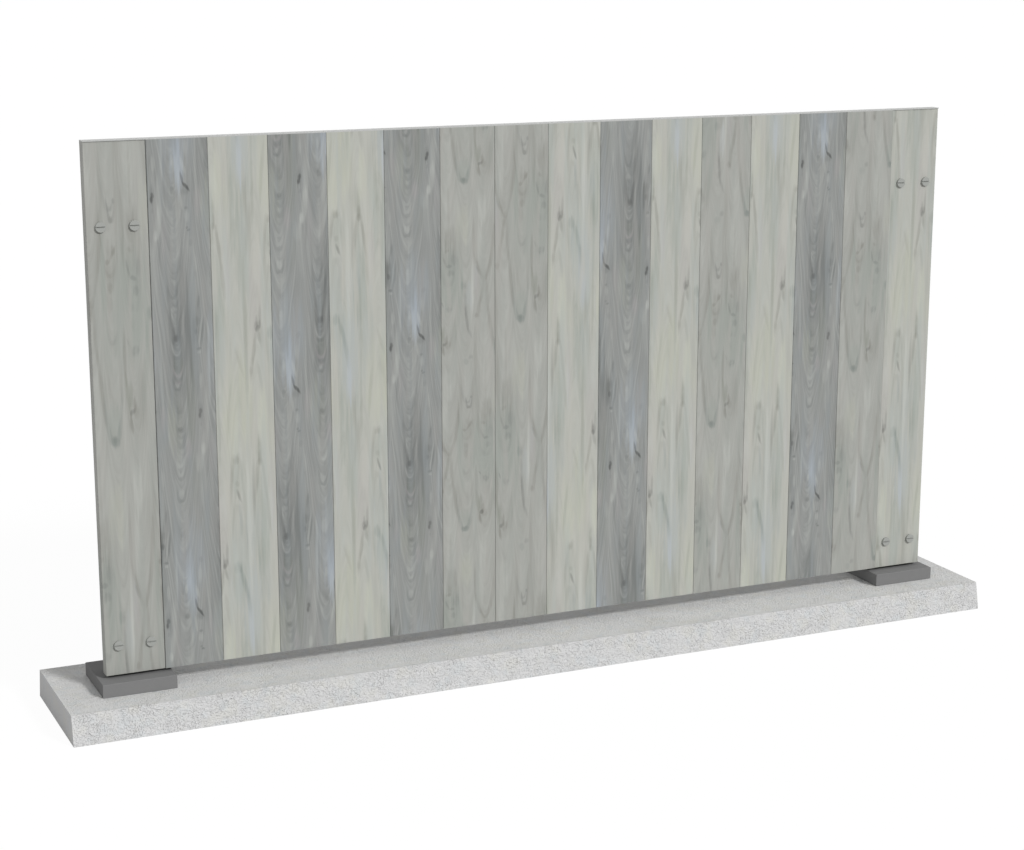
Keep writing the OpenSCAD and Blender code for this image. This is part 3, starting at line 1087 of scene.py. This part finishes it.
def edit_faces(piece: bpy.types.Object, wanted: Callable[[Vector, Vector], bool]) -> None:
    """Enters edit mode with the faces selected whose middle and normal pass a test."""
    edit(piece, "polygons", [wanted(face.center, face.normal) for face in piece.data.polygons])


def apply_modifier(piece: bpy.types.Object, kind: str, **settings: object) -> None:
    """Adds a modifier and applies it.

    Args:
        piece: The piece.
        kind: Modifier type.
        settings: Properties of the modifier by name.
    """
    activate(piece)
    modifier = piece.modifiers.new(kind.lower(), kind)
    for label, setting in settings.items():
        setattr(modifier, label, setting)
    bpy.ops.object.modifier_apply(modifier=modifier.name)


def combine_with(piece: bpy.types.Object, operation: str, tool: bpy.types.Object) -> None:
    """Joins another solid to a piece or cuts it out of it, and removes that solid."""
    apply_modifier(piece, "BOOLEAN", operation=operation, object=tool, solver="EXACT")
    bpy.data.objects.remove(tool)


def smooth(piece: bpy.types.Object, angle: float) -> None:
    """Shades a piece smooth where its faces meet at less than an angle in degrees."""
    activate(piece)
    bpy.ops.object.shade_smooth_by_angle(angle=math.radians(angle))


def add_disc(sides: int, radius: float, foot: Vector, height: float, name: str) -> bpy.types.Object:
    """Adds a cylinder or a prism that points backwards.

    Args:
        sides: Number of its sides.
        radius: Its radius.
        foot: Middle of its front.
        height: Its height from there towards the back.
        name: Its name.

    Returns:
        The new piece.
    """
    deselect()
    place = foot + Vector((0, height / 2, 0))
    turn = (math.radians(90), 0, 0)
    bpy.ops.mesh.primitive_cylinder_add(
        vertices=sides, radius=radius, depth=height, location=place, rotation=turn
    )
    return name_piece(name)


def repeat(first: bpy.types.Object, places: dict[str, Vector]) -> list[bpy.types.Object]:
    """Copies a piece to its other places.

    Args:
        first: The piece at the first place.
        places: Every place by the name of its piece.

    Returns:
        The piece and its copies, each with its own mesh.
    """
    pieces = [first]
    for name, place in list(places.items())[1:]:
        activate(first)
        bpy.ops.object.duplicate()
        bpy.context.object.location = place - places[first.name]
        pieces.append(name_piece(name))
    return pieces


def dress(piece: bpy.types.Object, material: bpy.types.Material) -> None:
    """Gives a piece one material on all its faces and reports it.

    Args:
        piece: The piece.
        material: The material.
    """
    if not piece.material_slots:
        piece.data.materials.append(material)
    for slot in piece.material_slots:
        slot.material = material
    LOG.info("%s: %s, %d faces", piece.name, material.name, len(piece.data.polygons))


def seat(piece: bpy.types.Object, slot: str, *nodes: str) -> None:
    """Puts a piece on the frame.

    Args:
        piece: The piece.
        slot: The record's material slot; not used.
        nodes: CAD nodes that it stands for.
    """
    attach(piece, BODY)
    if nodes:
        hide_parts(*nodes)


def middle(node: str) -> Vector:
    """Middle of a CAD node's box."""
    low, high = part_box(node)
    return (low + high) / 2


# ---- sub-assemblies


@dataclass
class Panel:
    """The sixteen boards and the trim over their ends."""

    finishes: Sequence[BoardFinish] = BOARD_FINISHES
    trim: str = "top_trim"

    def build(self) -> None:
        """Dresses the boards and the trim."""
        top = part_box(self.trim)[1].z
        for finish in self.finishes:
            dress(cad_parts[finish.node], finish.material(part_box(finish.node)[0], top))
        dress(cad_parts[self.trim], TRIM_PLASTIC.material())


@dataclass
class Plinth:
    """The concrete bar, with the shallow relief that a wooden float leaves on it.

    Cuts are an axis and the number of parts. A relief is the grain and the depth of one texture,
    and edge is how far from the sharp edges it reaches its full depth.
    """

    node: str = "plinth"
    cuts: Sequence[tuple[int, int]] = ((1, 70), (2, 20), (0, 24), (0, 30))
    reliefs: Sequence[tuple[float, float]] = ((0.011, 0.000312), (0.005, 0.00065))
    edge: float = 0.012

    def _top_share(self, low: Vector, high: Vector) -> float:
        """Depth of the CAD node's top as a share of its foot's."""
        rim = [vertex.co.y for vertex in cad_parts[self.node].data.vertices if vertex.co.z > high.z - MM]
        return (max(rim) - min(rim)) / (high.y - low.y)

    @staticmethod
    def _cut(piece: bpy.types.Object, axis: int, count: int) -> None:
        """Cuts every edge that runs along an axis into equal parts.

        Args:
            piece: The piece.
            axis: 0, 1 or 2 for X, Y or Z.
            count: Number of parts.
        """

        def runs_along(first: Vector, second: Vector) -> bool:
            """Whether an edge runs mostly along the axis."""
            step = [abs(part) for part in second - first]
            return step.pop(axis) > 2 * max(step)

        edit_edges(piece, runs_along)
        bpy.ops.mesh.subdivide(number_cuts=count - 1)
        mode("OBJECT")

    def _spare_edges(self, piece: bpy.types.Object, low: Vector, high: Vector) -> None:
        """Makes the vertex group that keeps the relief off the sharp edges and the two ends.

        Args:
            piece: The piece.
            low: Lowest corner of the CAD node.
            high: Its highest corner.
        """
        group = piece.vertex_groups.new(name="faces")
        taper = (1 - self._top_share(low, high)) / (high.z - low.z)
        for vertex in piece.data.vertices:
            x, y, z = vertex.co
            end = high.x - abs(x)
            side = high.y * (1 - taper * (z - low.z)) - abs(y)
            nearest = sorted((end, side, min(z - low.z, high.z - z)))[1]
            weight = 0.0 if end < TOUCH else min(1.0, nearest / self.edge)
            group.add([vertex.index], weight, "REPLACE")

    def build(self) -> None:
        """Models and dresses the plinth."""
        low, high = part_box(self.node)
        deselect()
        bpy.ops.mesh.primitive_cube_add(size=1, location=(low + high) / 2, scale=high - low)
        piece = name_piece("plinth_cast")
        edit_faces(piece, lambda centre, normal: normal.z > 0.9)
        bpy.ops.transform.resize(value=(1, self._top_share(low, high), 1))
        mode("OBJECT")
        edit_faces(piece, lambda centre, normal: normal.z < -0.9)
        bpy.ops.mesh.delete(type="ONLY_FACE")
        mode("OBJECT")
        for axis, count in self.cuts:
            self._cut(piece, axis, count)
        edit_edges(piece, lambda first, second: max(first.z, second.z) < low.z + TOUCH)
        bpy.ops.mesh.edge_face_add()
        mode("OBJECT")
        self._spare_edges(piece, low, high)
        for grain, depth in self.reliefs:
            texture = bpy.data.textures.new("float_marks", "CLOUDS")
            texture.noise_scale = grain
            texture.noise_depth = 1
            texture.noise_type = "HARD_NOISE"
            apply_modifier(
                piece, "DISPLACE", texture=texture, texture_coords="LOCAL", mid_level=1.0, strength=depth,
                vertex_group="faces",
            )
        smooth(piece, 40)
        dress(piece, CONCRETE.material())
        seat(piece, "concrete", self.node)


@dataclass
class Screws:
    """The eight slotted screws that hold the end boards to the posts."""

    nodes: Sequence[str] = field(default_factory=lambda: [
        name for name in sorted(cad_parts) if name.startswith("screw_")
    ])
    head_height: float = 0.0045
    shank_radius: float = 0.005
    slot_width: float = 0.0028
    slot_depth: float = 0.0026
    rim: float = 0.0005

    def _model(self, node: str, name: str) -> bpy.types.Object:
        """Models the screw of one CAD node.

        Args:
            node: The CAD node.
            name: Name of the screw.

        Returns:
            The screw, its head towards the front.
        """
        low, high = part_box(node)
        radius = (high.x - low.x) / 2
        face = Vector((middle(node).x, low.y, middle(node).z))
        piece = add_disc(64, radius, face, self.head_height, name)
        edit_faces(piece, lambda centre, normal: normal.y > 0.9)
        bpy.ops.mesh.inset(thickness=radius - self.shank_radius)
        shank = high.y - low.y - self.head_height
        bpy.ops.mesh.extrude_region_move(TRANSFORM_OT_translate={"value": (0, shank, 0)})
        mode("OBJECT")
        edit_faces(piece, lambda centre, normal: normal.y < -0.9)
        bpy.ops.mesh.inset(thickness=self.rim)
        mode("OBJECT")

        def on_rim(*ends: Vector) -> bool:
            """Whether an edge lies on the outer rim of the head's front."""
            return all((end - face).length > radius - TOUCH and end.y < low.y + TOUCH for end in ends)

        edit_edges(piece, on_rim)
        bpy.ops.transform.translate(value=(0, self.rim, 0))
        mode("OBJECT")
        deselect()
        slot = (2.4 * radius, 2 * self.slot_depth, self.slot_width)
        bpy.ops.mesh.primitive_cube_add(size=1, location=face, scale=slot)
        combine_with(piece, "DIFFERENCE", name_piece("slot_cutter"))
        smooth(piece, 35)
        return piece

    def build(self) -> None:
        """Models one screw and copies it to every place."""
        material = SCREW_PAINT.material()
        places = {f"{node}_slotted": middle(node) for node in self.nodes}
        first = self._model(self.nodes[0], f"{self.nodes[0]}_slotted")
        for piece, node in zip(repeat(first, places), self.nodes):
            dress(piece, material)
            seat(piece, "screw_paint", node)


@dataclass
class RailScrews:
    """The hexagon screws that hold the inner boards to the rails from behind."""

    rails: Sequence[str] = ("rail_lower", "rail_upper")
    boards: Sequence[str] = tuple(f"board_{number:02}" for number in range(2, 16))
    washer_radius: float = 0.0068
    washer_height: float = 0.0012
    head_radius: float = 0.0048
    head_height: float = 0.0046
    crown: float = 0.0005

    def _disc(self, sides: int, radius: float, foot: Vector, height: float, name: str) -> bpy.types.Object:
        """Models a disc or a prism whose back has a sloped rim.

        Args:
            sides: Number of its sides.
            radius: Its radius.
            foot: Middle of its foot on the rail.
            height: Its height.
            name: Its name.

        Returns:
            The disc.
        """
        disc = add_disc(sides, radius, foot, height, name)
        edit_faces(disc, lambda centre, normal: normal.y > 0.9)
        bpy.ops.mesh.inset(thickness=2 * self.crown)
        bpy.ops.transform.translate(value=(0, self.crown, 0))
        mode("OBJECT")
        return disc

    def build(self) -> None:
        """Models one screw and copies it to every board at both rails."""
        material = ZINC_COAT.material()
        places = {
            f"{rail}_screw_{board[-2:]}": Vector((middle(board).x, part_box(rail)[1].y, middle(rail).z))
            for rail in self.rails
            for board in self.boards
        }
        name, start = next(iter(places.items()))
        washer = self._disc(32, self.washer_radius, start, self.washer_height, "washer")
        first = self._disc(6, self.head_radius, start + Vector((0, self.crown, 0)), self.head_height, name)
        combine_with(first, "UNION", washer)
        smooth(first, 30)
        for piece in repeat(first, places):
            dress(piece, material)
            seat(piece, "screw_paint")


@dataclass
class Supports:
    """Posts, rails, caps and base plates."""

    coated: Sequence[str] = ("post_left", "post_right", "rail_lower", "rail_upper")
    caps: Sequence[str] = ("post_cap_left", "post_cap_right")
    plates: Sequence[str] = ("base_plate_left", "base_plate_right")

    def build(self) -> None:
        """Dresses the supports."""
        for names, finish in ((self.coated, POST_COAT), (self.caps, CAP_PLASTIC), (self.plates, PLATE_PAINT)):
            material = finish.material()
            for name in names:
                dress(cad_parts[name], material)


# ---- studio


@dataclass
class Studio:
    """Camera, sun, sky and floor. Angles are in degrees."""

    lens: float = 74.09
    camera_place: tuple[float, float, float] = (-1.9185, -4.1402, 1.5836)
    camera_pan: float = 24.13
    camera_tilt: float = 13.06
    sight: float = 300.0
    to_sun: tuple[float, float, float] = (0.66, -1.31, 1.0)
    sun_strength: float = 2.04
    sun_angle: float = 10.0
    sky: float = 0.51
    floor_side: float = 160.0
    floor_glow: float = 0.955
    floor_tint: float = 0.092

    def build(self) -> None:
        """Makes the studio."""
        self._camera()
        self._sun()
        self._sky()
        self._floor()
        bpy.context.scene.view_settings.view_transform = "Standard"

    @staticmethod
    def _stand(name: str, data: bpy.types.ID) -> bpy.types.Object:
        """Stands a camera or a lamp in the scene.

        Args:
            name: Its name.
            data: Its data.

        Returns:
            The new object.
        """
        thing = bpy.data.objects.new(name, data)
        bpy.context.scene.collection.objects.link(thing)
        return thing

    def _camera(self) -> None:
        """Makes the camera."""
        data = bpy.data.cameras.new("camera")
        data.lens = self.lens
        data.sensor_width = 36.0
        data.clip_end = self.sight
        camera = self._stand("camera", data)
        camera.location = self.camera_place
        camera.rotation_euler = (math.radians(90 - self.camera_tilt), 0, math.radians(-self.camera_pan))
        bpy.context.scene.camera = camera

    def _sun(self) -> None:
        """Makes the soft sun."""
        data = bpy.data.lights.new("sun", "SUN")
        data.energy = self.sun_strength
        data.angle = math.radians(self.sun_angle)
        sun = self._stand("sun", data)
        sun.rotation_mode = "QUATERNION"
        sun.rotation_quaternion = Vector(self.to_sun).to_track_quat("Z", "Y")

    @staticmethod
    def _seen(graph: Graph) -> Socket:
        """Tells looks from light.

        Args:
            graph: Graph of a material or a world.

        Returns:
            1 where the camera, a reflection or glass looks, and 0 where light is gathered.
        """
        path = graph.add("ShaderNodeLightPath").outputs
        looked = graph.math("MAXIMUM", path["Is Camera Ray"], path["Is Glossy Ray"])
        return graph.math("MAXIMUM", looked, path["Is Transmission Ray"])

    def _sky(self) -> None:
        """Makes a plain sky that is white to the eye."""
        world = bpy.data.worlds.new("sky")
        bpy.context.scene.world = world
        graph = new_graph(world)
        light, white = (graph.add("ShaderNodeBackground", (1, 1, 1, 1), level) for level in (self.sky, 1.0))
        blend = graph.add("ShaderNodeMixShader", self._seen(graph), light.outputs[0], white.outputs[0])
        graph.add("ShaderNodeOutputWorld", blend.outputs[0])

    def _floor(self) -> None:
        """Makes the pale floor, which keeps a faint shadow."""
        deselect()
        bpy.ops.mesh.primitive_plane_add(size=self.floor_side, location=(0, 0, 0))
        floor = name_piece("floor")
        material = bpy.data.materials.new("floor_pale")
        graph = new_graph(material)
        seen = self._seen(graph)
        pale = graph.remap(graph.noise(object_place(graph), (3, 3, 3), 2.0), 0.0, 1.0, 0.59, 0.61)
        level = graph.times(pale, graph.math("MULTIPLY_ADD", seen, self.floor_tint - 1, 1.0))
        glow = graph.times(seen, self.floor_glow)
        graph.shade(
            Base_Color=graph.combine(level, level, level), Roughness=1.0, Specular_IOR_Level=0.0,
            Emission_Color=graph.combine(glow, glow, glow), Emission_Strength=1.0,
        )
        dress(floor, material)


def main() -> None:
    """Builds the studio and every sub-assembly in order."""
    logging.basicConfig(level=logging.INFO, format="%(relativeCreated)6.0f %(message)s")
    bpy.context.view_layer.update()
    for assembly in (Studio(), Panel(), Supports(), Screws(), RailScrews(), Plinth()):
        assembly.build()


if __name__ == "__main__":
    main()
